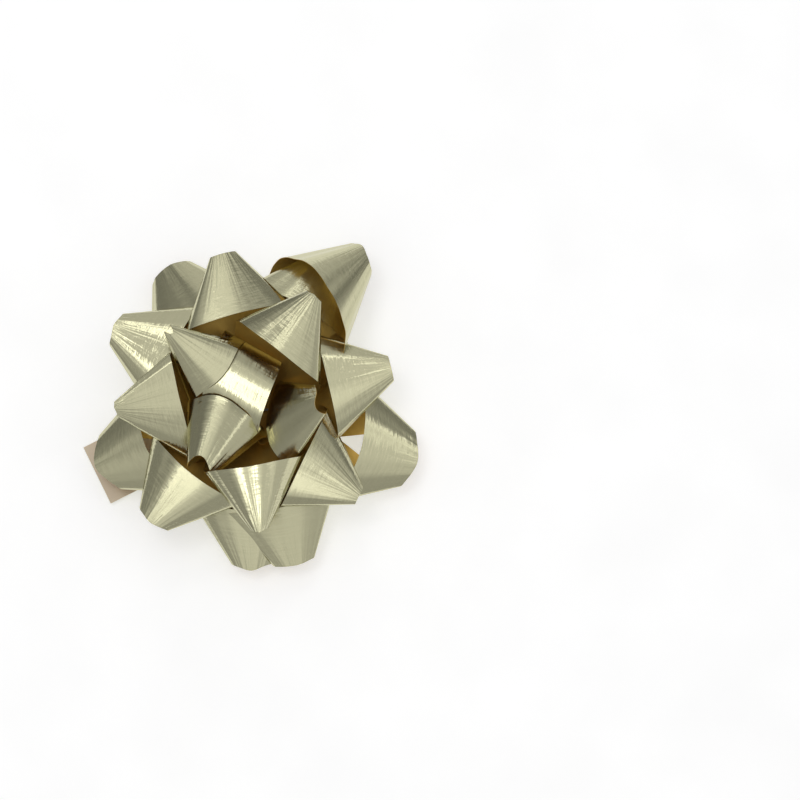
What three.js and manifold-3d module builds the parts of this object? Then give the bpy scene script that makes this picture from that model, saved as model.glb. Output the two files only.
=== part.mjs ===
// Pre-made star gift bow. Millimetres, +Z up, origin under the staple on the underside of the
// release liner. One ribbon is wound into pointed loops, pinned by a staple to a small card with an
// adhesive pad. The ribbon is drawn as one solid per loop, divided where it passes under the staple.
import * as THREE from 'three';
import { mergeVertices } from 'three/addons/utils/BufferGeometryUtils.js';
import Module from 'manifold-3d';

// Driving dimensions
const RIBBON_WIDTH = 19;
const RIBBON_THICKNESS = 0.3;
const GAP = 0.3;
const LINER_SIZE = 27;
const LINER_TAB = 6;
const LINER_THICKNESS = 0.25;
const PAD_SIZE = 23;
const PAD_THICKNESS = 1.2;
const CARD_SIZE = 26;
const CARD_THICKNESS = 0.6;
const STACK_RADIUS = 8;
const STACK_HEIGHT = 3.6;
const STAPLE_SPAN = 11;
const STAPLE_WIRE = 0.6;
const STAPLE_CLINCH = 3.5;
const FREE_END_REACH = 50;
const FREE_END_AZIMUTH = 207;
const FREE_END_OFFSET = -4.6;

// Heights that follow from the thicknesses
const PAD_BOTTOM = LINER_THICKNESS + GAP / 2;
const CARD_BOTTOM = PAD_BOTTOM + PAD_THICKNESS + GAP / 2;
const STACK_BOTTOM = CARD_BOTTOM + CARD_THICKNESS + GAP / 2;
const STACK_TOP = STACK_BOTTOM + STACK_HEIGHT;
const CROWN_HEIGHT = STACK_TOP + RIBBON_THICKNESS + 2 * GAP + STAPLE_WIRE;
const FREE_END_HEIGHT = STACK_BOTTOM + RIBBON_THICKNESS;

// The tiers, from the bottom up: base is the height of the pinned pass, start is where a loop leaves the
// pile, its tails bend up to its rise over the distances bend, and it opens from flat to its full cone
// over the distances open.
const OUTER = { base: STACK_BOTTOM + 0.8, start: 9, bend: [4, 16], open: [6, 22] };
const LOWER = { base: STACK_BOTTOM + 1.6, start: 9, bend: [4, 16], open: [6, 22] };
const MIDDLE = { base: STACK_BOTTOM + 2.2, start: 9, bend: [4, 16], open: [6, 22] };
const UPPER = { base: STACK_BOTTOM + 2.8, start: 7, bend: [3, 13], open: [5, 20] };
const INNER = { base: STACK_BOTTOM + 3.4, start: 4, bend: [1, 10], open: [2, 14] };

// Each loop is a flattened cone of ribbon whose two tails cross at the staple, listed from the top down.
// azimuth and rise: where the tip points; reach: staple to cone apex; spread: half the cone's width;
// lean: the cone's turn about its tip; tip: apex to the ribbon's near edge; twist: its roll about its own
// length; blunt: how far the tip's corners are rounded off; press: how far its height is pressed flat;
// right and back: how far it is pushed sideways on the pile. Angles are in degrees.
const LOOPS = [
  ['inner_loop_2', INNER, -118, 35.5, 41.2, 22.5, -7, 13, -2, -4, 1, -1, 0.9],
  ['inner_loop_1', INNER, 2, 59, 39.5, 26.5, -12, 10.6, -4, -2, 1.15, 3, -0.8],
  ['upper_loop_2', UPPER, 144, 45.5, 39.5, 28, -2, 4.3, -12.5, -2.5, 1, -1.1, 2.9],
  ['upper_loop_1', UPPER, 55, 42, 48, 32, 2, 3.5, 2, 0.5, 1, -1.5, 0],
  ['middle_loop_2', MIDDLE, -85, 33, 49, 30, -5, 3, -8, 1, 1, 0, 0],
  ['middle_loop_1', MIDDLE, 186, 35, 48, 35, -7, 2.5, -12, 0.5, 1, 0, 0],
  ['lower_loop_4', LOWER, -41, 20, 48, 33, -9, 4, -4, 0, 1, 0, 0],
  ['lower_loop_5', LOWER, 231, 16, 55, 30, 1, 8, 4, 1, 0.85, 0, 0],
  ['lower_loop_3', LOWER, 14, 20, 50, 32, 0, 6, -2, 0, 1, 0, 0],
  ['lower_loop_1', LOWER, 102, 22, 54, 33, -1, 6, 10, 0, 1, 0, 0],
  ['lower_loop_2', LOWER, 152, 20, 56, 33, -2, 7, 6, 1, 1, 0, 0],
  ['lower_loop_6', LOWER, 65, 7, 57, 33, 3, 6, 0, 1, 0.85, 0, 0],
  ['outer_loop_6', OUTER, 201, 2, 62, 26, -1, 15, 0, 3, 0.5, 0, 0],
  ['outer_loop_4', OUTER, -75, 2, 57, 29, 1, 10, 0, 0.5, 0.6, 0, 0],
  ['outer_loop_5', OUTER, -90, 2, 55, 31, -1, 8, 0, 1.5, 0.6, 0, 0],
  ['outer_loop_3', OUTER, -17, 2, 63, 28, -2, 14, 0, 2, 0.6, 0, 0],
  ['outer_loop_2', OUTER, 54, 6, 66, 29, 6, 9, -14, 2, 1, 0, 0],
  ['outer_loop_1', OUTER, 121, 2, 61, 29, 0, 11, 0, 1, 0.65, 0, 0],
].map(([name, tier, azimuth, rise, reach, spread, lean, tip, twist, blunt, press, right, back]) => (
  { name, tier, azimuth, rise, reach, spread, lean, tip, twist, blunt, press, right, back }
));

// The centre loop is a ring wound over the pile's top: its axis points along the azimuth and climbs by
// the slope over its crown, pitch is how far the strip moves along that axis in half a turn, and a
// shoulder under 1 squares the ring's far side.
const CENTRE = {
  azimuth: -30, slope: -2, right: -3.2, back: 5.4, halfWidth: 12, halfHeight: 8, pitch: 7, shoulder: 0.92,
};
const CENTRE_BOTTOM = STACK_TOP + GAP + RIBBON_THICKNESS / 2;

// How a loop is drawn
const RULINGS = 20;
const RULING_POINTS = 4;
const CENTRE_ROWS = 40;
const PATH_STEPS = 120;
const SEARCH_STEPS = 30;
const SLIT = 0.5;

const wasm = await Module();
wasm.setup();

const radians = THREE.MathUtils.degToRad;
const UP = new THREE.Vector3(0, 0, 1);

// Materials
function material(color, roughness, metalness) {
  return new THREE.MeshStandardMaterial({ color, roughness, metalness });
}

const foil = material(0xc9c291, 0.32, 0.9);
const steel = material(0xb9bcc0, 0.35, 1);
const board = material(0xe9e6df, 0.85, 0);
const foam = material(0xf4f1ea, 0.9, 0);
const paper = material(0xfbfbf8, 0.6, 0);

// Booleans
function toSolid(geometry) {
  const bare = geometry.clone();
  bare.deleteAttribute('normal');
  bare.deleteAttribute('uv');
  const merged = mergeVertices(bare, 1e-4);
  const mesh = new wasm.Mesh({
    numProp: 3,
    vertProperties: new Float32Array(merged.attributes.position.array),
    triVerts: new Uint32Array(merged.index.array),
  });
  return new wasm.Manifold(mesh);
}

function toGeometry(solid) {
  const mesh = solid.getMesh();
  const geometry = new THREE.BufferGeometry();
  geometry.setAttribute('position', new THREE.BufferAttribute(mesh.vertProperties, 3));
  geometry.setIndex(new THREE.BufferAttribute(mesh.triVerts, 1));
  geometry.computeVertexNormals();
  return geometry;
}

function largestPiece(solid) {
  return solid.decompose().sort((a, b) => b.volume() - a.volume())[0];
}

function part(name, solid, look) {
  const mesh = new THREE.Mesh(toGeometry(solid), look);
  mesh.name = name;
  return mesh;
}

// The directions of a cone's rulings: a closed ellipse on the unit sphere about -X, which starts and
// ends at the bottom, with the arc length from its middle beside each direction.
function rulings(spread, flatness, start) {
  const directions = [];
  const arcs = [0];
  for (let step = 0; step <= PATH_STEPS; step += 1) {
    const turn = start + (2 * Math.PI * step) / PATH_STEPS;
    const side = Math.tan(spread) * Math.sin(turn);
    const up = Math.tan(flatness) * Math.cos(turn);
    directions.push(new THREE.Vector3(-1, side, up).normalize());
    if (step > 0) arcs.push(arcs[step - 1] + directions[step].angleTo(directions[step - 1]));
  }
  const half = arcs[PATH_STEPS] / 2;
  return { directions, arcs: arcs.map((arc) => arc - half), half };
}

// The flatness that makes the rulings' arc close at the staple
function closedRulings(spread, start, closing) {
  let low = radians(0.3);
  let high = radians(50);
  for (let step = 0; step < SEARCH_STEPS; step += 1) {
    const middle = (low + high) / 2;
    if (rulings(spread, middle, start).half < closing) low = middle;
    else high = middle;
  }
  return rulings(spread, low, start);
}

// A loop's cone, turned so that the bottom ruling lies along X with the apex at X = reach
function loopCone(loop) {
  const closing = Math.acos((loop.tip + RIBBON_WIDTH / 2) / loop.reach);
  const spread = Math.min(radians(loop.spread), closing * 0.49);
  const offset = Math.asin(Math.tan(radians(loop.lean)) / Math.tan(spread));
  const cone = closedRulings(spread, Math.PI + offset, closing);
  const bottom = cone.directions[0].clone().negate();
  const turn = new THREE.Matrix4().makeRotationZ(-Math.atan2(bottom.y, bottom.x));
  cone.directions.forEach((direction) => direction.applyMatrix4(turn));
  const level = cone.directions[0].clone().negate();
  const tilt = new THREE.Matrix4().makeRotationY(Math.atan2(level.z, level.x));
  const twist = new THREE.Matrix4().makeRotationX(radians(loop.twist));
  cone.directions.forEach((direction) => direction.applyMatrix4(tilt).applyMatrix4(twist));
  return cone;
}

// The direction of the ruling at an angle from the middle of the strip
function rulingAt(cone, angle) {
  let step = 1;
  while (step < PATH_STEPS && cone.arcs[step] < angle) step += 1;
  const share = (angle - cone.arcs[step - 1]) / (cone.arcs[step] - cone.arcs[step - 1]);
  return cone.directions[step - 1].clone().lerp(cone.directions[step], share).normalize();
}

// The place of a point after the loop is bent up to its rise over the distances of its tier
function bentUp(loop, point) {
  const [from, to] = loop.tier.bend;
  const rise = radians(loop.rise);
  const bent = (rise * THREE.MathUtils.clamp(point.x - from, 0, to - from)) / (to - from);
  const radius = (to - from) / rise;
  const before = Math.min(point.x, from);
  const beyond = Math.max(point.x - to, 0);
  return new THREE.Vector3(
    before + radius * Math.sin(bent) + beyond * Math.cos(bent) - point.z * Math.sin(bent),
    point.y,
    radius * (1 - Math.cos(bent)) + beyond * Math.sin(bent) + point.z * Math.cos(bent),
  );
}

// A point on a ruling: opened from flat, bent up, and turned and pushed to the loop's place
function loopPoint(loop, direction, distance) {
  const point = direction.clone().multiplyScalar(distance);
  point.x += loop.reach;
  point.z *= loop.press * THREE.MathUtils.smoothstep(point.x, ...loop.tier.open);
  const placed = bentUp(loop, point).applyAxisAngle(UP, radians(loop.azimuth));
  return placed.add(new THREE.Vector3(loop.right, loop.back, loop.tier.base));
}

// A ruling's points, from the ribbon's near edge to its far edge or to where the loop leaves the pile
function rulingPoints(loop, cone, angle, margin) {
  const direction = rulingAt(cone, angle);
  const blunt = loop.blunt * Math.sin((Math.PI * angle) / cone.half) ** 2;
  const near = (loop.tip - margin) / Math.cos(angle) + blunt;
  const edge = (loop.tip + RIBBON_WIDTH + margin) / Math.cos(angle) + blunt;
  const far = Math.min(edge, (loop.reach - loop.tier.start + margin) / -direction.x);
  const points = [];
  for (let j = 0; j < RULING_POINTS; j += 1) {
    const share = j / (RULING_POINTS - 1);
    points.push(loopPoint(loop, direction, near + (far - near) * share));
  }
  return points;
}

// A closed sheet of the given thickness about a surface given row by row
function sheetSolid(rows, thickness) {
  const height = rows.length;
  const width = rows[0].length;
  const positions = [];
  const sideways = new THREE.Vector3();
  const lengthways = new THREE.Vector3();
  for (const side of [0.5, -0.5]) {
    for (let i = 0; i < height; i += 1) {
      for (let j = 0; j < width; j += 1) {
        lengthways.subVectors(rows[Math.min(i + 1, height - 1)][j], rows[Math.max(i - 1, 0)][j]);
        sideways.subVectors(rows[i][Math.min(j + 1, width - 1)], rows[i][Math.max(j - 1, 0)]);
        const normal = lengthways.clone().cross(sideways).normalize();
        positions.push(...rows[i][j].clone().addScaledVector(normal, side * thickness).toArray());
      }
    }
  }
  const faces = [];
  const at = (side, i, j) => side * height * width + i * width + j;
  const quad = (a, b, c, d) => faces.push(a, b, c, a, c, d);
  for (let i = 0; i < height - 1; i += 1) {
    for (let j = 0; j < width - 1; j += 1) {
      quad(at(0, i, j), at(0, i + 1, j), at(0, i + 1, j + 1), at(0, i, j + 1));
      quad(at(1, i, j), at(1, i, j + 1), at(1, i + 1, j + 1), at(1, i + 1, j));
    }
    quad(at(0, i, 0), at(1, i, 0), at(1, i + 1, 0), at(0, i + 1, 0));
    quad(at(0, i, width - 1), at(0, i + 1, width - 1), at(1, i + 1, width - 1), at(1, i, width - 1));
  }
  for (let j = 0; j < width - 1; j += 1) {
    quad(at(0, 0, j), at(0, 0, j + 1), at(1, 0, j + 1), at(1, 0, j));
    quad(at(0, height - 1, j), at(1, height - 1, j), at(1, height - 1, j + 1), at(0, height - 1, j + 1));
  }
  const geometry = new THREE.BufferGeometry();
  geometry.setAttribute('position', new THREE.Float32BufferAttribute(positions, 3));
  geometry.setIndex(faces);
  return toSolid(geometry);
}

// A loop of ribbon, or with a margin the room that its neighbours leave for it. Its two tails meet
// along the bottom ruling with a slit between them.
function loopSolid(loop, margin) {
  const cone = loopCone(loop);
  const last = cone.half - (SLIT - margin) / loop.reach;
  const rows = [];
  for (let i = 0; i < RULINGS; i += 1) {
    const angle = last * ((2 * i) / (RULINGS - 1) - 1);
    rows.push(rulingPoints(loop, cone, angle, margin));
  }
  return sheetSolid(rows, RIBBON_THICKNESS + 2 * margin);
}

// The centre loop, or with a margin the room that its neighbours leave for it, with a slit below it
function centreSolid(margin) {
  const last = Math.PI - (SLIT - margin) / CENTRE.halfWidth;
  const rows = [];
  for (let i = 0; i < CENTRE_ROWS; i += 1) {
    const turn = last * ((2 * i) / (CENTRE_ROWS - 1) - 1);
    const shoulder = turn > 0 ? CENTRE.shoulder : 1;
    const crown = (1 + Math.sign(Math.cos(turn)) * Math.abs(Math.cos(turn)) ** shoulder) / 2;
    const side = CENTRE.halfWidth * Math.sign(turn) * Math.abs(Math.sin(turn)) ** shoulder;
    rows.push([-0.5, 0, 0.5].map((across) => {
      const along = across * (RIBBON_WIDTH + 2 * margin) - (CENTRE.pitch * turn) / Math.PI;
      const height = crown * (2 * CENTRE.halfHeight + Math.tan(radians(CENTRE.slope)) * along);
      const point = new THREE.Vector3(along, side, CENTRE_BOTTOM + height);
      point.applyAxisAngle(UP, radians(CENTRE.azimuth));
      return point.add(new THREE.Vector3(CENTRE.right, CENTRE.back, 0));
    }));
  }
  return sheetSolid(rows, RIBBON_THICKNESS + 2 * margin);
}

// Plain pieces
function plate(sizeX, sizeY, thickness, bottom, offsetX, corner) {
  const outline = new THREE.Shape();
  const right = sizeX / 2 - corner;
  const top = sizeY / 2 - corner;
  outline.absarc(right, top, corner, 0, Math.PI / 2);
  outline.absarc(-right, top, corner, Math.PI / 2, Math.PI);
  outline.absarc(-right, -top, corner, Math.PI, 1.5 * Math.PI);
  outline.absarc(right, -top, corner, 1.5 * Math.PI, 2 * Math.PI);
  const settings = { depth: thickness, bevelEnabled: false, curveSegments: 6 };
  const geometry = new THREE.ExtrudeGeometry(outline, settings);
  return toSolid(geometry.translate(offsetX, 0, bottom));
}

// The ribbon's passes under the staple, drawn as one round pile
function pinnedStack(radius, bottom, height) {
  const geometry = new THREE.CylinderGeometry(radius, radius, height, 32);
  return toSolid(geometry.rotateX(Math.PI / 2).translate(0, 0, bottom + height / 2));
}

// A wire staple: a crown over the ribbon, two legs through the card and clinched ends below it
function stapleSolid(margin) {
  const side = STAPLE_WIRE + 2 * margin;
  const half = STAPLE_SPAN / 2;
  const low = CARD_BOTTOM - STAPLE_WIRE / 2 - GAP / 2;
  const bar = (width, height, x, z) => {
    const box = new THREE.BoxGeometry(width + 2 * margin, side, height + 2 * margin);
    return toSolid(box.translate(x, 0, z));
  };
  const legHeight = CROWN_HEIGHT - low;
  let solid = bar(STAPLE_SPAN + STAPLE_WIRE, STAPLE_WIRE, 0, CROWN_HEIGHT);
  for (const sign of [-1, 1]) {
    solid = solid.add(bar(STAPLE_WIRE, legHeight, sign * half, low + legHeight / 2));
    const inward = half - STAPLE_CLINCH / 2 + STAPLE_WIRE / 4;
    solid = solid.add(bar(STAPLE_CLINCH + STAPLE_WIRE / 2, STAPLE_WIRE, sign * inward, low));
  }
  return solid;
}

// The ribbon's free end: a flat strip from the stack out under the outer tier
function freeEnd(margin) {
  const length = FREE_END_REACH - STACK_RADIUS - GAP;
  const width = RIBBON_WIDTH + 2 * margin;
  const box = new THREE.BoxGeometry(length + 2 * margin, width, RIBBON_THICKNESS + 2 * margin);
  box.translate(FREE_END_REACH - length / 2, FREE_END_OFFSET, FREE_END_HEIGHT);
  return toSolid(box.rotateZ(radians(FREE_END_AZIMUTH)));
}

// Assembly, from the top down: each loop gives way to the ones already placed
const bow = new THREE.Group();
const stapleRoom = stapleSolid(GAP / 2);
const stackRoom = pinnedStack(STACK_RADIUS + GAP, CARD_BOTTOM, STACK_TOP + GAP - CARD_BOTTOM);
const cardRoom = plate(CARD_SIZE, CARD_SIZE, STACK_BOTTOM - CARD_BOTTOM, CARD_BOTTOM, 0, 1);
let taken = stapleRoom.add(stackRoom).add(cardRoom);

bow.add(part('centre_loop', largestPiece(centreSolid(0).subtract(taken)), foil));
taken = taken.add(centreSolid(GAP));
for (const loop of LOOPS) {
  bow.add(part(loop.name, largestPiece(loopSolid(loop, 0).subtract(taken)), foil));
  taken = taken.add(loopSolid(loop, GAP));
}
bow.add(part('ribbon_tail', largestPiece(freeEnd(0).subtract(taken)), foil));

const stack = pinnedStack(STACK_RADIUS, STACK_BOTTOM, STACK_HEIGHT);
bow.add(part('pinned_stack', stack.subtract(stapleRoom), foil));
bow.add(part('staple', stapleSolid(0), steel));
const card = plate(CARD_SIZE, CARD_SIZE, CARD_THICKNESS, CARD_BOTTOM, 0, 1);
bow.add(part('backing_card', card.subtract(stapleRoom), board));
const pad = plate(PAD_SIZE, PAD_SIZE, PAD_THICKNESS, PAD_BOTTOM, 0, 1);
bow.add(part('adhesive_pad', pad.subtract(stapleRoom), foam));
const linerLength = LINER_SIZE + LINER_TAB;
const liner = plate(linerLength, LINER_SIZE, LINER_THICKNESS, 0, -LINER_TAB / 2, 2);
bow.add(part('release_liner', liner, paper));

export default bow;
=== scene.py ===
"""A pre-made star gift bow of champagne-gold foil ribbon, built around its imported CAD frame.

Metres, +Z up, in the frame of the CAD part. Each loop of ribbon is a flattened cone of flat strip
whose two tails cross under the staple.
"""
import math

import bmesh
import bpy
import numpy as np
from mathutils import Matrix, Vector


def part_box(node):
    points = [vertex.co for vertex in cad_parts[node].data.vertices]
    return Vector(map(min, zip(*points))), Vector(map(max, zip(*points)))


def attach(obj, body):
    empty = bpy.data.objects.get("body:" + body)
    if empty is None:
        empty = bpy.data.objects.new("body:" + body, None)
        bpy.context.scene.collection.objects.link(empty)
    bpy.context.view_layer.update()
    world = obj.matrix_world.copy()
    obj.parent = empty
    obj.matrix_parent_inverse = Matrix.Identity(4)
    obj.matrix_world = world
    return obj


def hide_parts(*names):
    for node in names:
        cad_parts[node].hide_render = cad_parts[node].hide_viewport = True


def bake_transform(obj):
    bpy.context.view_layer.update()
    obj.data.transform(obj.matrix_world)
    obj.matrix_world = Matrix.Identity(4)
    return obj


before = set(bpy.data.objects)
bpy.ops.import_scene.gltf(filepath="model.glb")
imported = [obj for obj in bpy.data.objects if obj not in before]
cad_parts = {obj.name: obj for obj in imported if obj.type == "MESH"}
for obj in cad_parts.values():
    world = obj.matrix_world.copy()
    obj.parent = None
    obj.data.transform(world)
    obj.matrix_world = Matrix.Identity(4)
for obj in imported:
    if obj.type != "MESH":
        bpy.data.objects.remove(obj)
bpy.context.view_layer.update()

MM = 0.001
RIBBON_WIDTH = 19 * MM
FILM_THICKNESS = 0.14 * MM
TAIL_OVERRUN = 4 * MM
FIRST_PASS = 0.15 * MM
PASS_RISE = 0.2 * MM
TAIL_LIFT = 0.1 * MM

# How finely a sheet is drawn
ROWS = 150
COLUMNS = 14
LINER_ROWS = 100

# The search for a cone's flatness: its fineness, its limits, and the share of the closing angle that
# half the cone's spread stays under
PATH_STEPS = 720
SEARCH_STEPS = 26
FLATTEST, ROUNDEST = math.radians(0.3), math.radians(50)
WIDEST_SPREAD = 0.49

# The share of a loop's half length from which its strip runs square to its ends, and the shares of its
# closing angle over which the upper of its two tails lifts off the lower one
SQUARE_FROM = 0.55
LIFT_FROM, LIFT_TO = 0.5, 0.85

# Small folds of the film, as waves round the loop and their size as a share of its width and height,
# and the shares of a turn round the loop over which they fade out at its tails
FOLDS = ((2, 0.02), (3, 0.02), (5, 0.018), (7, 0.015), (11, 0.009), (17, 0.004))
FOLD_FADE = (0.05, 0.25)
SHARP_EDGE = math.radians(50)

# Colours of the ribbon's faces, from darker to paler streaks
FOIL_TONES = ((0.60, 0.58, 0.38), (0.625, 0.605, 0.40))
# The inside tones are painted shade: the film's tan back, made darker and more golden inside the loops.
PAINTED_SHADE_INSIDE_TONES = ((0.62, 0.40, 0.09), (0.70, 0.47, 0.12))
TAN_TONES = ((0.78, 0.64, 0.46), (0.84, 0.70, 0.51))

# The foil's finish: its roughness between grain lines and on them, how far grain lines tip the normal,
# the creases' depth, and where they fade, in ribbon widths from the cone's apex
FOIL_ROUGHNESS = (0.16, 0.26)
GRAIN_TIP = 0.16
CREASE_DEPTH = 0.35 * MM
CREASE_FADE = (0.2, 1.4)
CREASE_REMAINDER = 0.12
GRAIN_ALONG, GRAIN_ACROSS = 5, 60

# The floor, and the studio's brightness by height, from horizon to zenith, and round the horizon from
# -X through -Y. The walls count fully below WALL_TOP and not at all at the zenith. Their values follow
# a table worked out by another program.
FLOOR_HALF_WIDTH = 3
FLOOR_GLOW = 0.42
SKY_BY_HEIGHT = ((0.0, 0.45), (0.34, 0.48), (0.64, 0.48), (0.82, 0.62), (0.94, 0.8), (1.0, 1.05))
WALLS_BY_HEADING = ((0.0, 0.7), (0.125, 0.9), (0.25, 0.85), (0.375, 0.9), (0.5, 1.35),
                    (0.62, 0.5), (0.75, 1.35), (0.87, 0.45), (1.0, 0.7))
ZENITH, WALL_TOP = 1.0, 0.6

# The soft boxes: name, position, size and power in watts
SOFT_BOXES = (
    ("overhead", (-0.22, 0.10, 0.95), (0.30, 0.30), 0.8),
    ("side", (0.64, 0.17, 0.73), (0.2, 0.2), 0.14),
    ("back", (-0.05, 0.60, 0.75), (0.25, 0.14), 0.25),
)
SOFT_BOX_AIM = Vector((0, 0, 15)) * MM

CAMERA_AIM = Vector((43, 1.5, 14)) * MM
CAMERA_DISTANCE = 650 * MM
CAMERA_ELEVATION = math.radians(77)
CAMERA_LENS, CAMERA_SENSOR = 100, 36
CAMERA_CLIP = (0.01, 20)

# Where a tier's loops bend up to their rise, and where they open from flat to their full cone
LOW = {"bend": (4 * MM, 16 * MM), "open": (6 * MM, 22 * MM)}
UPPER = {"bend": (3 * MM, 13 * MM), "open": (5 * MM, 20 * MM)}
INNER = {"bend": (1 * MM, 10 * MM), "open": (2 * MM, 14 * MM)}

# The loops, from the pile's bottom to its top, with the driving values of the CAD part: azimuth and
# rise of the tip, reach from staple to cone apex, half the cone's spread, the cone's lean about its
# tip, the distance from the apex to the ribbon's near edge, the roll about the loop's length, how far
# the tip's corners are rounded off, how far its height is pressed flat, and its push to the right and
# back on the pile. Lengths are in mm and angles in degrees. The values are fitted ones, not set by
# hand.
LOOPS = [
    ("outer_loop_1", LOW, 121, 2, 61, 29, 0, 11, 0, 1, 0.65, 0, 0),
    ("outer_loop_2", LOW, 54, 6, 66, 29, 6, 9, -14, 2, 1, 0, 0),
    ("outer_loop_3", LOW, -17, 2, 63, 28, -2, 14, 0, 2, 0.6, 0, 0),
    ("outer_loop_5", LOW, -90, 2, 55, 31, -1, 8, 0, 1.5, 0.6, 0, 0),
    ("outer_loop_4", LOW, -75, 2, 57, 29, 1, 10, 0, 0.5, 0.6, 0, 0),
    ("outer_loop_6", LOW, 201, 2, 62, 26, -1, 15, 0, 3, 0.5, 0, 0),
    ("lower_loop_6", LOW, 65, 7, 57, 33, 3, 6, 0, 1, 0.85, 0, 0),
    ("lower_loop_2", LOW, 152, 20, 56, 33, -2, 7, 6, 1, 1, 0, 0),
    ("lower_loop_1", LOW, 102, 22, 54, 33, -1, 6, 10, 0, 1, 0, 0),
    ("lower_loop_3", LOW, 14, 20, 50, 32, 0, 6, -2, 0, 1, 0, 0),
    ("lower_loop_5", LOW, 231, 16, 55, 30, 1, 8, 4, 1, 0.85, 0, 0),
    ("lower_loop_4", LOW, -41, 20, 48, 33, -9, 4, -4, 0, 1, 0, 0),
    ("middle_loop_1", LOW, 186, 35, 48, 35, -7, 2.5, -12, 0.5, 1, 0, 0),
    ("middle_loop_2", LOW, -85, 33, 49, 30, -5, 3, -8, 1, 1, 0, 0),
    ("upper_loop_1", UPPER, 55, 42, 48, 32, 2, 3.5, 2, 0.5, 1, -1.5, 0),
    ("upper_loop_2", UPPER, 144, 45.5, 39.5, 28, -2, 4.3, -12.5, -2.5, 1, -1.1, 2.9),
    ("inner_loop_1", INNER, 2, 59, 39.5, 26.5, -12, 10.6, -4, -2, 1.15, 3, -0.8),
    ("inner_loop_2", INNER, -118, 35.5, 41.2, 22.5, -7, 13, -2, -4, 1, -1, 0.9),
]

# The centre loop, a ring wound over the pile's top, with the driving values of the CAD part, which come
# from the same kind of fit
CENTRE_AZIMUTH, CENTRE_SLOPE = math.radians(-30), math.radians(-2)
CENTRE_PLACE = (-3.2 * MM, 5.4 * MM)
CENTRE_HALF_WIDTH, CENTRE_HALF_HEIGHT = 12 * MM, 8 * MM
CENTRE_PITCH = 7 * MM
CENTRE_SHOULDER = 0.92
CENTRE_CLEARANCE = 0.45 * MM
CENTRE_TAIL = 0.45
CENTRE_WRINKLES, CENTRE_WRINKLE_HEIGHT = 9, 0.12 * MM

# The ribbon's free end, under the outer tier
FREE_END_AZIMUTH = math.radians(207)
FREE_END_START, FREE_END_REACH = 6 * MM, 50 * MM
FREE_END_OFFSET = -4.6 * MM
FREE_END_DROOP, FREE_END_CURL = 1.1 * MM, 0.25 * MM

# The release liner's corner radius, and a curl length given for it
LINER_CORNER, LINER_CURL = 2 * MM, 10 * MM

# Pieces without a cone's tip lie at this distance in the creases' fan, where the creases have faded
FAN_REACH = 3 * RIBBON_WIDTH


def smooth(value, low, high):
    """A smooth step from 0 at low to 1 at high."""
    share = np.clip((value - low) / (high - low), 0, 1)
    return share * share * (3 - 2 * share)


def grid(rows, columns):
    """Every pairing of two lists of values, as two arrays of rows and columns."""
    return np.meshgrid(rows, columns, indexing="ij")


# ---- materials -----------------------------------------------------------------------------------

def new_material(name):
    """An empty node material with its Principled shader."""
    made = bpy.data.materials.new(name)
    made.use_nodes = True
    nodes, links = made.node_tree.nodes, made.node_tree.links
    return made, nodes, links, nodes["Principled BSDF"]


def layer_coordinates(nodes, layer):
    """One of a ribbon's own coordinate layers."""
    coordinates = nodes.new("ShaderNodeUVMap")
    coordinates.uv_map = layer
    return coordinates.outputs["UV"]


def layer_noise(nodes, links, layer, scale_along, scale_across, detail):
    """Noise in one of a ribbon's own coordinate layers, stretched along it."""
    mapping = nodes.new("ShaderNodeMapping")
    mapping.inputs["Scale"].default_value = (scale_along, scale_across, 1)
    noise = nodes.new("ShaderNodeTexNoise")
    noise.inputs["Scale"].default_value = 1
    noise.inputs["Detail"].default_value = detail
    links.new(layer_coordinates(nodes, layer), mapping.inputs["Vector"])
    links.new(mapping.outputs["Vector"], noise.inputs["Vector"])
    return noise.outputs["Fac"]


def tone_ramp(nodes, links, value, dark, light, low=0.0, high=1.0):
    """A ramp from a dark tone to a light one as a value goes from low to high."""
    ramp = nodes.new("ShaderNodeValToRGB")
    first, last = ramp.color_ramp.elements
    first.position, last.position = low, high
    first.color, last.color = (*dark, 1), (*light, 1)
    links.new(value, ramp.inputs["Fac"])
    return ramp.outputs["Color"]


def map_range(nodes, links, value, source, result):
    """A value carried from one range of numbers to another."""
    carried = nodes.new("ShaderNodeMapRange")
    carried.inputs["From Min"].default_value, carried.inputs["From Max"].default_value = source
    carried.inputs["To Min"].default_value, carried.inputs["To Max"].default_value = result
    links.new(value, carried.inputs["Value"])
    return carried.outputs["Result"]


def bumped_normal(nodes, links, height, strength, distance):
    """The normal of a surface that rises and falls by a height socket."""
    bump = nodes.new("ShaderNodeBump")
    bump.inputs["Strength"].default_value = strength
    bump.inputs["Distance"].default_value = distance
    links.new(height, bump.inputs["Height"])
    return bump.outputs["Normal"]


def crease_height(nodes, links):
    """Fine creases that fan out from a loop's tip and fade towards its mouth."""
    creases = layer_noise(nodes, links, "fan", 9, 0.4, 2)
    split = nodes.new("ShaderNodeSeparateXYZ")
    links.new(layer_coordinates(nodes, "fan"), split.inputs["Vector"])
    fade = map_range(nodes, links, split.outputs["Y"], CREASE_FADE, (1, CREASE_REMAINDER))
    height = nodes.new("ShaderNodeMath")
    height.operation = "MULTIPLY"
    links.new(creases, height.inputs[0])
    links.new(fade, height.inputs[1])
    return height.outputs["Value"]


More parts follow.
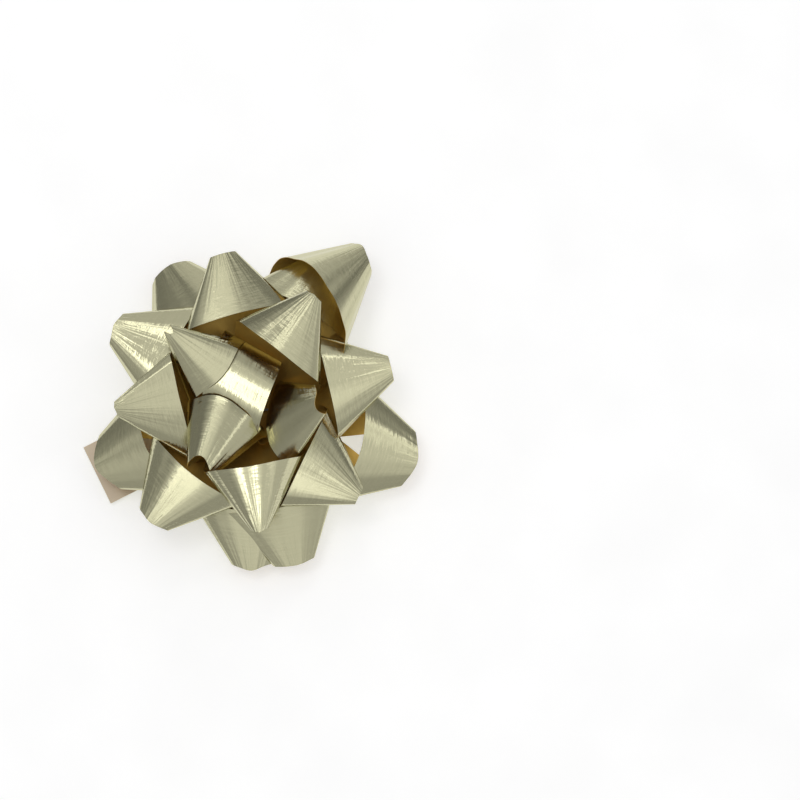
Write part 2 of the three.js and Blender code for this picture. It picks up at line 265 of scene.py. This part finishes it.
def grained_normal(nodes, links, noise, normal):
    """The strip's tangent, and the normal tipped to and fro along it by grain, which frays highlights."""
    tangent = nodes.new("ShaderNodeTangent")
    tangent.direction_type = "UV_MAP"
    tangent.uv_map = "strip"
    tip = map_range(nodes, links, noise, (0, 1), (-GRAIN_TIP, GRAIN_TIP))
    lean = nodes.new("ShaderNodeVectorMath")
    lean.operation = "SCALE"
    links.new(tangent.outputs["Tangent"], lean.inputs["Vector"])
    links.new(tip, lean.inputs["Scale"])
    total = nodes.new("ShaderNodeVectorMath")
    total.operation = "ADD"
    links.new(normal, total.inputs[0])
    links.new(lean.outputs["Vector"], total.inputs[1])
    unit = nodes.new("ShaderNodeVectorMath")
    unit.operation = "NORMALIZE"
    links.new(total.outputs["Vector"], unit.inputs[0])
    return unit.outputs["Vector"], tangent.outputs["Tangent"]


def foil_material():
    """Metallised champagne film: creases that fan from the tips and a fine grain along the strip."""
    made, nodes, links, shader = new_material("champagne_foil")
    shader.inputs["Metallic"].default_value = 1.0
    shader.inputs["Anisotropic"].default_value = 0.6
    shader.inputs["Anisotropic Rotation"].default_value = 0.25
    tone = layer_noise(nodes, links, "strip", 1.5, 30, 3)
    links.new(tone_ramp(nodes, links, tone, *FOIL_TONES, 0.3, 0.7), shader.inputs["Base Color"])
    grain = layer_noise(nodes, links, "strip", GRAIN_ALONG, GRAIN_ACROSS, 2)
    links.new(map_range(nodes, links, grain, (0, 1), FOIL_ROUGHNESS), shader.inputs["Roughness"])
    creases = bumped_normal(nodes, links, crease_height(nodes, links), 1.0, CREASE_DEPTH)
    normal, tangent = grained_normal(nodes, links, grain, creases)
    links.new(normal, shader.inputs["Normal"])
    links.new(tangent, shader.inputs["Tangent"])
    return made


def back_material(name, tones, metallic):
    """The film's matte back, with the ribbon's fine grain."""
    made, nodes, links, shader = new_material(name)
    shader.inputs["Roughness"].default_value = 0.4
    shader.inputs["Metallic"].default_value = metallic
    tone = layer_noise(nodes, links, "strip", 8, 20, 4)
    links.new(tone_ramp(nodes, links, tone, *tones), shader.inputs["Base Color"])
    grain = layer_noise(nodes, links, "strip", GRAIN_ALONG, GRAIN_ACROSS, 3)
    links.new(bumped_normal(nodes, links, grain, 0.3, 0.04 * MM), shader.inputs["Normal"])
    return made


def plain_material(name, colour, roughness, metallic, grain, strength):
    """A matte or metal material with a fine procedural grain in colour and bump."""
    made, nodes, links, shader = new_material(name)
    shader.inputs["Roughness"].default_value = roughness
    shader.inputs["Metallic"].default_value = metallic
    coordinates = nodes.new("ShaderNodeTexCoord")
    noise = nodes.new("ShaderNodeTexNoise")
    noise.inputs["Scale"].default_value = grain
    noise.inputs["Detail"].default_value = 6
    links.new(coordinates.outputs["Object"], noise.inputs["Vector"])
    darker = [0.86 * channel for channel in colour]
    links.new(tone_ramp(nodes, links, noise.outputs["Fac"], darker, colour), shader.inputs["Base Color"])
    normal = bumped_normal(nodes, links, noise.outputs["Fac"], strength, 0.1 * MM)
    links.new(normal, shader.inputs["Normal"])
    return made


# ---- ribbon loops --------------------------------------------------------------------------------

def cone_rulings(spread, flatness, start, ripple):
    """Unit directions round a flattened cone about -X, with the arc from its middle for each."""
    turn = np.linspace(start, start + 2 * math.pi, PATH_STEPS + 1)
    swell = 1 + ripple
    side = math.tan(spread) * np.sin(turn) * swell
    up = math.tan(flatness) * np.cos(turn) * swell
    directions = np.stack([-np.ones_like(turn), side, up], 1)
    directions /= np.linalg.norm(directions, axis=1)[:, None]
    steps = np.linalg.norm(np.diff(directions, axis=0), axis=1)
    arcs = np.concatenate([[0], np.cumsum(2 * np.arcsin(steps / 2))])
    return directions, arcs - arcs[-1] / 2


def loop_ripple(seed):
    """Small folds of the film that run from the tip to the mouth, fading out at the tails."""
    random = np.random.default_rng(seed)
    share = np.linspace(0, 1, PATH_STEPS + 1)
    ripple = np.zeros(PATH_STEPS + 1)
    for count, size in FOLDS:
        ripple += size * random.uniform(0.4, 1) * np.cos(
            2 * math.pi * count * share + random.uniform(0, 2 * math.pi))
    return ripple * (smooth(share, *FOLD_FADE) * smooth(1 - share, *FOLD_FADE))


def closed_cone(reach, tip, spread, lean, twist, seed):
    """The cone whose rulings close at the staple, turned so that its bottom ruling lies along X."""
    closing = math.acos((tip + RIBBON_WIDTH / 2) / reach)
    spread = min(spread, closing * WIDEST_SPREAD)
    start = math.pi + math.asin(math.tan(lean) / math.tan(spread))
    ripple = loop_ripple(seed)
    low, high = FLATTEST, ROUNDEST
    for _ in range(SEARCH_STEPS):
        middle = (low + high) / 2
        directions, arcs = cone_rulings(spread, middle, start, ripple)
        if arcs[-1] < closing:
            low = middle
        else:
            high = middle
    bottom = -directions[0]
    turn = Matrix.Rotation(-math.atan2(bottom[1], bottom[0]), 3, "Z")
    level = turn @ Vector(bottom)
    tilt = Matrix.Rotation(math.atan2(level.z, level.x), 3, "Y")
    roll = Matrix.Rotation(twist, 3, "X")
    return directions @ np.array(roll @ tilt @ turn).T, arcs, closing


def cone_points(directions, arcs, angle, distance):
    """Points on the cone's rulings, or past its last ruling on the plane that touches it there."""
    half = arcs[-1]
    inside = np.clip(angle, -half, half)
    ruling = np.stack([np.interp(inside, arcs, directions[:, k]) for k in range(3)], -1)
    extra = (angle - inside)[..., None]
    onward = np.where(extra > 0, directions[-1] - directions[-2], directions[1] - directions[0])
    onward /= np.linalg.norm(onward, axis=-1)[..., None]
    ruling = ruling * np.cos(extra) + onward * np.sin(extra)
    ruling /= np.linalg.norm(ruling, axis=-1)[..., None]
    return ruling * distance[..., None]


def bend_up(x, z, rise, bend):
    """Bends a loop up from the level of its pinned tails to its rise."""
    start, end = bend
    bent = rise * np.clip((x - start) / (end - start), 0, 1)
    radius = (end - start) / rise
    before, beyond = np.minimum(x, start), np.maximum(x - end, 0)
    return (before + radius * np.sin(bent) + beyond * np.cos(bent) - z * np.sin(bent),
            radius * (1 - np.cos(bent)) + beyond * np.sin(bent) + z * np.cos(bent))


def set_out(azimuth, along, sideways, height, right=0, back=0):
    """Points along a heading from the staple and beside it, pushed to the right and back."""
    return np.stack([math.cos(azimuth) * along - math.sin(azimuth) * sideways + right,
                     math.sin(azimuth) * along + math.cos(azimuth) * sideways + back,
                     height], -1)


def loop_surface(row, base, seed):
    """The mid-surface of a loop as rows of points, each point's place along and across the strip, and
    its angle and distance in the fan of creases. The other surfaces give the same five."""
    tier = row[1]
    azimuth, rise, spread, lean, twist = (math.radians(row[k]) for k in (2, 3, 5, 6, 8))
    reach, tip, blunt, right, back = (row[k] * MM for k in (4, 7, 9, 11, 12))
    press = row[10]
    directions, arcs, closing = closed_cone(reach, tip, spread, lean, twist, seed)
    place, share = grid(np.linspace(-1, 1, ROWS), np.linspace(0, 1, COLUMNS))
    far = tip + RIBBON_WIDTH
    end = reach * math.sin(closing) + TAIL_OVERRUN
    angle = math.atan(end / far) * np.abs(place)
    square = smooth(np.abs(place), SQUARE_FROM, 1)
    far_along = far * np.tan(angle)
    near_along = tip * np.tan(angle) * (1 - square) + far_along * square
    along = np.sign(place) * (near_along * (1 - share) + far_along * share)
    across = tip + RIBBON_WIDTH * share
    angle = np.arctan2(along, across)
    half = arcs[-1]
    rounded = blunt * np.sin(math.pi * np.clip(angle, -half, half) / half) ** 2
    local = cone_points(directions, arcs, angle, np.hypot(along, across) + rounded)
    x, y, z = local[..., 0] + reach, local[..., 1], local[..., 2] * press
    z = z + TAIL_LIFT * smooth(angle, LIFT_FROM * closing, LIFT_TO * closing)
    lifted = np.where(angle > 0, TAIL_LIFT, 0)
    z = lifted + (z - lifted) * smooth(x, *tier["open"])
    x, z = bend_up(x, z, rise, tier["bend"])
    points = set_out(azimuth, x, y, z + base, right, back)
    return points, along, across - tip, angle, np.hypot(along, across)


def centre_surface(base):
    """The mid-surface of the centre loop, a strip wound once round a level axis like a helix."""
    reach = math.pi + CENTRE_TAIL
    turn, across = grid(np.linspace(-reach, reach, ROWS), np.linspace(0.5, -0.5, COLUMNS) * RIBBON_WIDTH)
    inside = np.clip(turn, -math.pi, math.pi)
    shoulder = np.where(inside > 0, CENTRE_SHOULDER, 1)
    crown = (1 + np.sign(np.cos(inside)) * np.abs(np.cos(inside)) ** shoulder) / 2
    side = np.sign(inside) * np.abs(np.sin(inside)) ** shoulder
    along_axis = across - CENTRE_PITCH * inside / math.pi
    sideways = CENTRE_HALF_WIDTH * (side - (turn - inside))
    wrinkle = CENTRE_WRINKLE_HEIGHT * np.sin(CENTRE_WRINKLES * turn) * (1 + across / RIBBON_WIDTH)
    height = crown * (2 * CENTRE_HALF_HEIGHT + math.tan(CENTRE_SLOPE) * along_axis + wrinkle)
    height = height + TAIL_LIFT * smooth(turn, 0, math.pi)
    points = set_out(CENTRE_AZIMUTH, along_axis, sideways, height + base, *CENTRE_PLACE)
    return points, CENTRE_HALF_WIDTH * turn, across, turn, np.full_like(turn, FAN_REACH)


def free_end_surface(base):
    """The mid-surface of the ribbon's free end: it droops a little, and its edges curl up."""
    out, across = grid(np.linspace(0, 1, ROWS // 3), np.linspace(-0.5, 0.5, COLUMNS) * RIBBON_WIDTH)
    along = FREE_END_START + (FREE_END_REACH - FREE_END_START) * out
    height = base - FREE_END_DROOP * out ** 2 + FREE_END_CURL * out * (2 * across / RIBBON_WIDTH) ** 2
    points = set_out(FREE_END_AZIMUTH, along, across + FREE_END_OFFSET, height)
    return points, along, across, out, np.full_like(out, FAN_REACH)


def sheet_object(name, surface, materials, thickness=FILM_THICKNESS):
    """A thin closed sheet about rows of points: the first material outside, the second within."""
    points, along, across, angle, distance = surface
    rows, columns = points.shape[:2]
    lengthways = np.gradient(points, axis=0)
    sideways = np.gradient(points, axis=1)
    normal = np.cross(lengthways, sideways)
    normal /= np.linalg.norm(normal, axis=-1)[..., None]
    outer = points + normal * thickness / 2
    inner = points - normal * thickness / 2
    vertices = np.concatenate([outer.reshape(-1, 3), inner.reshape(-1, 3)])
    layers = {"strip": (along / RIBBON_WIDTH, across / RIBBON_WIDTH),
              "fan": (angle, distance / RIBBON_WIDTH)}
    index = np.arange(rows * columns).reshape(rows, columns)
    low = index + rows * columns
    quads = []
    for i in range(rows - 1):
        for j in range(columns - 1):
            quads.append((index[i, j], index[i + 1, j], index[i + 1, j + 1], index[i, j + 1]))
    outside = len(quads)
    for i in range(rows - 1):
        quads.append((index[i, 0], low[i, 0], low[i + 1, 0], index[i + 1, 0]))
        quads.append((index[i, -1], index[i + 1, -1], low[i + 1, -1], low[i, -1]))
    for j in range(columns - 1):
        quads.append((index[0, j], index[0, j + 1], low[0, j + 1], low[0, j]))
        quads.append((index[-1, j], low[-1, j], low[-1, j + 1], index[-1, j + 1]))
    for i in range(rows - 1):
        for j in range(columns - 1):
            quads.append((low[i, j], low[i, j + 1], low[i + 1, j + 1], low[i + 1, j]))
    mesh = bpy.data.meshes.new(name)
    mesh.from_pydata(vertices.tolist(), [], [tuple(int(k) for k in q) for q in quads])
    corner = np.empty(len(mesh.loops), np.int32)
    mesh.loops.foreach_get("vertex_index", corner)
    for label, pair in layers.items():
        places = np.concatenate([np.stack(pair, -1).reshape(-1, 2)] * 2)
        layer = mesh.uv_layers.new(name=label)
        layer.data.foreach_set("uv", places[corner].astype(np.float32).ravel())
    for material in materials:
        mesh.materials.append(material)
    mesh.polygons.foreach_set("material_index", [0] * outside + [1] * (len(quads) - outside))
    mesh.polygons.foreach_set("use_smooth", [True] * len(quads))
    mesh.update()
    made = bpy.data.objects.new(name, mesh)
    bpy.context.collection.objects.link(made)
    return made


def mark_sharp_edges(made):
    """Keeps a sheet's cut edges crisp under smooth shading."""
    mesh = bmesh.new()
    mesh.from_mesh(made.data)
    for edge in mesh.edges:
        if len(edge.link_faces) == 2 and edge.calc_face_angle() > SHARP_EDGE:
            edge.smooth = False
    mesh.to_mesh(made.data)
    mesh.free()


def ribbon_piece(name, surface, materials, *nodes):
    """A sheet of ribbon on the bow's root body that stands for some CAD nodes."""
    made = sheet_object(name, surface, materials)
    mark_sharp_edges(made)
    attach(made, "root")
    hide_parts(*nodes)


def build_ribbon(foil, inner, pale):
    """Every loop of the bow, stacked in order on the card, the centre loop on top and the free end."""
    bottom, top = (corner[2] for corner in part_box("pinned_stack"))
    for order, row in enumerate(LOOPS):
        base = bottom + FIRST_PASS + PASS_RISE * (order + 1)
        ribbon_piece(row[0] + "_ribbon", loop_surface(row, base, order), (foil, inner), row[0])
    centre = centre_surface(top + CENTRE_CLEARANCE)
    ribbon_piece("centre_loop_ribbon", centre, (foil, inner), "centre_loop", "pinned_stack")
    ribbon_piece("ribbon_free_end", free_end_surface(bottom + FIRST_PASS), (pale, foil), "ribbon_tail")


# ---- plain pieces --------------------------------------------------------------------------------

def give(node, material):
    """A better material for a carried-over CAD node."""
    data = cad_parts[node].data
    data.materials.clear()
    data.materials.append(material)


def liner_surface(low, high):
    """The release liner's mid-surface, a flat rectangle with rounded corners, from pad edge to tab."""
    along, share = grid(np.linspace(high[0], low[0], LINER_ROWS), np.linspace(-1, 1, COLUMNS))
    from_end = np.minimum(along - low[0], high[0] - along)
    inset = LINER_CORNER - np.clip(from_end, 0, LINER_CORNER)
    half = (high[1] - low[1]) / 2 - LINER_CORNER + np.sqrt(LINER_CORNER ** 2 - inset ** 2)
    across = share * half
    points = np.stack([along, across, np.full_like(along, (low[2] + high[2]) / 2)], -1)
    return points, along, across, np.zeros_like(along), np.full_like(along, FAN_REACH)


def build_liner():
    """The release liner: a flat sheet with rounded corners, in place of its CAD part."""
    low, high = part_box("release_liner")
    paper = plain_material("liner_paper", (0.92, 0.92, 0.90), 0.45, 0.0, 600, 0.1)
    made = sheet_object("liner_sheet", liner_surface(low, high), (paper, paper), high[2] - low[2])
    mark_sharp_edges(made)
    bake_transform(made)
    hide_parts("release_liner")


def dress_plain_nodes():
    """Materials of the card, pad and staple."""
    give("staple", plain_material("staple_wire", (0.45, 0.44, 0.42), 0.35, 1.0, 1500, 0.15))
    give("backing_card", plain_material("white_card", (0.83, 0.81, 0.77), 0.8, 0.0, 700, 0.3))
    give("adhesive_pad", plain_material("adhesive_foam", (0.88, 0.86, 0.80), 0.6, 0.0, 1800, 0.6))


# ---- stage, lights and camera --------------------------------------------------------------------

def aim(obj, position, target):
    """Puts an object at position, looking at target along its -Z with +Y up."""
    obj.location = position
    obj.rotation_mode = "QUATERNION"
    obj.rotation_quaternion = (target - position).to_track_quat("-Z", "Y")


def make_camera():
    """The camera, high over the bow's front, with the bow left of the picture's middle."""
    data = bpy.data.cameras.new("camera")
    data.lens = CAMERA_LENS
    data.sensor_width = CAMERA_SENSOR
    data.clip_start, data.clip_end = CAMERA_CLIP
    camera = bpy.data.objects.new("camera", data)
    bpy.context.collection.objects.link(camera)
    back = Vector((0, -math.cos(CAMERA_ELEVATION), math.sin(CAMERA_ELEVATION)))
    aim(camera, CAMERA_AIM + back * CAMERA_DISTANCE, CAMERA_AIM)
    bpy.context.scene.camera = camera


def area_light(name, position, size, power):
    """A white soft box that faces the bow."""
    data = bpy.data.lights.new(name, "AREA")
    data.shape = "RECTANGLE"
    data.size, data.size_y = size
    data.energy = power
    light = bpy.data.objects.new(name, data)
    bpy.context.collection.objects.link(light)
    aim(light, Vector(position), SOFT_BOX_AIM)


def make_stage():
    """A white floor under soft boxes, in pale surroundings for the foil to reflect."""
    mesh = bmesh.new()
    bmesh.ops.create_grid(mesh, x_segments=2, y_segments=2, size=FLOOR_HALF_WIDTH)
    data = bpy.data.meshes.new("floor")
    mesh.to_mesh(data)
    mesh.free()
    floor = bpy.data.objects.new("floor", data)
    bpy.context.collection.objects.link(floor)
    white = plain_material("white_floor", (0.93, 0.93, 0.93), 0.9, 0.0, 30, 0.0)
    shader = white.node_tree.nodes["Principled BSDF"]
    shader.inputs["Emission Color"].default_value = (1, 1, 1, 1)
    shader.inputs["Emission Strength"].default_value = FLOOR_GLOW
    data.materials.append(white)
    make_world()
    for soft_box in SOFT_BOXES:
        area_light(*soft_box)


def light_ramp(nodes, links, value, stops):
    """A smooth ramp of grey over a value from 0 to 1, given as (place, brightness) stops."""
    ramp = nodes.new("ShaderNodeValToRGB")
    ramp.color_ramp.interpolation = "EASE"
    for _ in range(len(stops) - 2):
        ramp.color_ramp.elements.new(0.5)
    for element, (place, light) in zip(ramp.color_ramp.elements, stops):
        element.position = place
        element.color = (light, light, light, 1)
    links.new(value, ramp.inputs["Fac"])
    return ramp.outputs["Color"]


def make_world():
    """Soft studio surroundings: bright overhead, with paler and darker walls round the horizon."""
    world = bpy.data.worlds.new("studio")
    bpy.context.scene.world = world
    world.use_nodes = True
    nodes, links = world.node_tree.nodes, world.node_tree.links
    background = nodes["Background"]
    coordinates = nodes.new("ShaderNodeTexCoord")
    split = nodes.new("ShaderNodeSeparateXYZ")
    links.new(coordinates.outputs["Generated"], split.inputs["Vector"])
    height = light_ramp(nodes, links, split.outputs["Z"], SKY_BY_HEIGHT)
    heading = nodes.new("ShaderNodeMath")
    heading.operation = "ARCTAN2"
    links.new(split.outputs["Y"], heading.inputs[0])
    links.new(split.outputs["X"], heading.inputs[1])
    turn = map_range(nodes, links, heading.outputs["Value"], (-math.pi, math.pi), (0, 1))
    walls = light_ramp(nodes, links, turn, WALLS_BY_HEADING)
    low = map_range(nodes, links, split.outputs["Z"], (ZENITH, WALL_TOP), (0, 1))
    mix = nodes.new("ShaderNodeMixRGB")
    mix.inputs["Color1"].default_value = (1, 1, 1, 1)
    links.new(low, mix.inputs["Fac"])
    links.new(walls, mix.inputs["Color2"])
    links.new(height, background.inputs["Color"])
    links.new(mix.outputs["Color"], background.inputs["Strength"])


bpy.context.scene.view_settings.view_transform = "Standard"
make_camera()
build_ribbon(foil_material(),
             # The loops' insides: the film's back with painted shade, darker and more golden than its
             # tan.
             back_material("ribbon_back_painted_shade", PAINTED_SHADE_INSIDE_TONES, 0.7),
             back_material("ribbon_back_tan", TAN_TONES, 0.0))
build_liner()
dress_plain_nodes()
make_stage()
